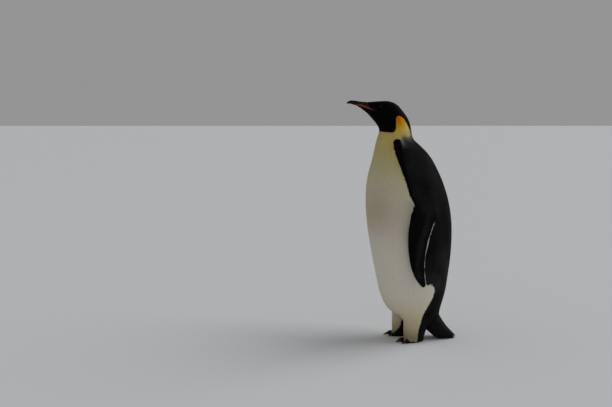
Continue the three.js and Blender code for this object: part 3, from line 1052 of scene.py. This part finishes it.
# The bright plates: their tones from front to rear, and how they thin out and sink in at both ends.
plates = {
    "tones": [(0.0, (0.011, 0.010, 0.010)), (0.24, (0.23, 0.060, 0.006)),
              (0.58, (0.27, 0.036, 0.012)), (1.0, (0.16, 0.036, 0.028))],
    "frontY": -0.205, "rearY": -0.112,
    "thinRear": 0.92, "thinRearFrom": -172, "thinRearOver": 54,
    "thinFront": 0.5, "thinFrontY": (-205, -192),
    "sunkRear": 0.5, "sunkRearY": (-128, -118),
    "sunkFront": 0.7, "sunkFrontY": (-206, -199),
}


def hornPiece(name, kind, paint, slot):
    piece = remeshed(mergedCopy([name], horns["grow"]), name + "_horn", horns[kind]["voxel"])
    points = relaxed(piece.data, pointsOf(piece.data), horns[kind]["rounds"], horns["softness"])
    setPoints(piece.data, points)
    if kind == "plate":
        setPoints(piece.data, taperedPlate(points))
    if name == "bill_lower":
        sunk = horns["underChin"] * onChin(points)
        setPoints(piece.data, points - normalsOf(piece.data) * sunk[:, None])
    piece.data.materials.append(paint)
    smoothShaded(piece)
    finished(piece, slot, name)


def taperedPlate(points):  # its ends run out to points that lie close on the bill and the cheek
    x, y, z = straightened(points).T
    middle = np.polyval(np.polyfit(y, z, 3), y) * mm
    thinRear = np.clip((y - plates["thinRearFrom"]) / plates["thinRearOver"], 0, 1) ** 1.7
    thinner = plates["thinRear"] * thinRear + plates["thinFront"] * (1 - ramp(y, *plates["thinFrontY"]))
    points = points.copy()
    points[:, 2] += (middle - points[:, 2]) * thinner
    outward = np.array(Matrix.Rotation(headTurn["angle"], 3, "Z") @ Vector((1, 0, 0)))
    sunk = plates["sunkRear"] * ramp(y, *plates["sunkRearY"])
    sunk = sunk + plates["sunkFront"] * (1 - ramp(y, *plates["sunkFrontY"]))
    return points - np.sign(x)[:, None] * outward * (sunk * mm)[:, None]


def platePaint():
    paint, tree = newMaterial("platePaint")
    place = objectPlace(tree)
    parts = tree.nodes.new("ShaderNodeSeparateXYZ")
    tree.links.new(place, parts.inputs[0])
    along = tree.nodes.new("ShaderNodeMapRange")
    along.inputs["From Min"].default_value = plates["frontY"]
    along.inputs["From Max"].default_value = plates["rearY"]
    tree.links.new(parts.outputs["Y"], along.inputs["Value"])
    streak = grainOver(tree, place, 320.0, 5.0)
    tone = toneRamp(tree, along.outputs[0], plates["tones"])
    setShader(tree, {
        "Base Color": scaledTone(tree, tone, between(tree, streak, 0.78, 1.15)),
        "Roughness": between(tree, streak, 0.26, 0.46),
        "Normal": bumpFrom(tree, streak, 0.2, 0.3 * mm),
        "Specular IOR Level": 0.22,
    })
    return paint


eyeTones = [(0.0, (0.002, 0.002, 0.002)), (0.27, (0.002, 0.002, 0.002)), (0.32, (0.014, 0.006, 0.004)),
            (0.50, (0.024, 0.010, 0.006)), (0.60, (0.004, 0.003, 0.003)), (1.0, (0.008, 0.007, 0.007))]


def eyePaint():  # pupil, iris and the dark ring round it
    paint, tree = newMaterial("eyePaint")
    fromPupil = addNode(tree, "ShaderNodeAttribute", attribute_name="fromPupil").outputs["Fac"]
    fibres = grainOver(tree, objectPlace(tree), 1500.0, 4.0)
    tone = toneRamp(tree, fromPupil, eyeTones)
    setShader(tree, {
        "Base Color": scaledTone(tree, tone, between(tree, fibres, 0.6, 1.3)),
        "Roughness": 0.15,
        "Normal": bumpFrom(tree, fibres, 0.03, 0.1 * mm),
        "Specular IOR Level": 0.05,
        "Coat Weight": 0.08,
        "Coat Roughness": 0.03,
    })
    return paint


def eyeball(side, paint):
    centre, outward = eyeFrame(side)[:2]
    shape = bmesh.new()
    bmesh.ops.create_uvsphere(shape, u_segments=40, v_segments=32, radius=eyes["ballRadius"] * mm)
    turn = Vector((0, 0, 1)).rotation_difference(Vector(outward)).to_matrix()
    bmesh.ops.rotate(shape, verts=shape.verts, matrix=turn)
    bmesh.ops.translate(shape, verts=shape.verts, vec=Vector(centre))
    bmesh.ops.recalc_face_normals(shape, faces=shape.faces)
    piece = objectFrom(shape, "eyeball_" + side)
    points = pointsOf(piece.data)
    away = unit(points - centre)
    angle = np.arccos(np.clip(away @ outward, -1, 1))
    lift = eyes["corneaLift"] * mm * (1 - ramp(angle, *eyes["corneaAngles"]))
    setPoints(piece.data, points + away * lift[:, None])
    layer = piece.data.attributes.new("fromPupil", "FLOAT", "POINT")
    share = np.clip(angle / eyes["mappedAngle"], 0, 1)
    layer.data.foreach_set("value", share.astype(np.float32))
    smoothShaded(piece)
    piece.data.materials.append(paint)
    finished(piece, "eye", "eye_" + side)


def bareSkin(points, part, normals):  # where no feathers grow
    underTail = (part == "tail") & (normals[:, 2] < -0.5) & (points[:, 2] < 0.02)
    sole = (points[:, 2] < 0.0035) & (normals[:, 2] < -0.3)
    underHorn = (part == "bill_upper") | ((part == "bill_lower") & (onChin(points) < 0.5))
    bare = underTail | sole | underHorn
    for side in sides:
        bare |= eyeRings(points, side)[0] < eyes["bareRing"]
    return bare


def paintSkin():
    points, normals = pointsOf(skin.data), normalsOf(skin.data)
    part = partOf(points)
    painted(skin.data, "plumage", plumage(points, part, normals))
    bare = bareSkin(points, part, normals)
    for kind, cover in coverage(points, part).items():
        thick = np.where(bare, 0, np.minimum(flesh["coverGain"] * cover, 1))
        layer = skin.data.attributes.new("cover_" + kind, "FLOAT", "POINT")
        layer.data.foreach_set("value", thick.astype(np.float32))
    skin.data.materials.append(downPaint())
    smoothShaded(skin)


bodyParting = {"y": 0.015, "z": 0.43}


def parted(kind, at):  # the pieces of one kind of coat, and which roots each of them has
    if kind == "body":
        front, high = at[:, 1] < bodyParting["y"], at[:, 2] > bodyParting["z"]
        return {"breast": front & high, "belly": front & ~high,
                "back": ~front & high, "rump": ~front & ~high}
    if kind == "flipper":
        return {"flipper_left": at[:, 0] > 0, "flipper_right": at[:, 0] <= 0}
    name = {"leg": "legs", "foot": "feet"}.get(kind, kind)
    return {name: np.full(len(at), True)}


def growCoat(kind, seed, paint, slot, **change):
    roots = rootsOf(kind, seed)
    for name, kept in parted(kind, roots[0]).items():
        own = [values[kept] for values in roots]
        growVanes("coat_" + name, own, kind, paint, slot, **change)


solids, owners = fleshTree()
setStudio()
print("studio is ready")

skin = makeSkin()
print("skin", len(skin.data.vertices), "vertices")
openEyes(skin)
print("eyes are open")
unwrapped(skin)
paintSkin()
finished(skin, "body_feathers", *flesh["parts"])
corners = [tuple(place) for place in pointsOf(skin.data)]
skinTree = BVHTree.FromPolygons(corners, [tuple(face.vertices) for face in skin.data.polygons])
print("skin is painted")

softPlume = plumePaint("softPlume", 0.66, 0.004, 420.0)
closePlume = plumePaint("closePlume", 0.58, 0.0, 700.0)
stiffPlume = plumePaint("stiffPlume", 0.45, 0.0, 500.0)
scalePaint = plumePaint("scalePaint", 0.45, 0.0, 900.0)
growCoat("face", 11, closePlume, "head_feathers", shade=0.16)
growCoat("hood", 12, closePlume, "head_feathers", shade=0.16)
growCoat("neck", 13, softPlume, "neck_feathers")
growCoat("body", 14, softPlume, "body_feathers")
growCoat("flipper", 15, closePlume, "flipper_feathers")
growCoat("leg", 16, softPlume, "leg_feathers")
tailFeathers(stiffPlume)
growCoat("foot", 18, scalePaint, "foot_skin", ridge=0.35)
print("coat is grown")

billHorn = hornPaint("billHorn", "bill", 0.34, (1, 0.25, 1))
for name in flesh["bill"]:
    hornPiece(name, "bill", billHorn, "bill_horn")
plateHorn = platePaint()
for side in sides:
    hornPiece("bill_plate_" + side, "plate", plateHorn, "bill_plate_horn")
print("bill is shaped")

iris = eyePaint()
for side in sides:
    eyeball(side, iris)
clawHorn = hornPaint("clawHorn", "claw", 0.36, (1, 0.3, 1))
for side in sides:
    for toe in ("inner", "middle", "outer"):
        hornPiece("claw_" + side + "_" + toe, "claw", clawHorn, "claw_horn")
print("eyes and claws are in place")
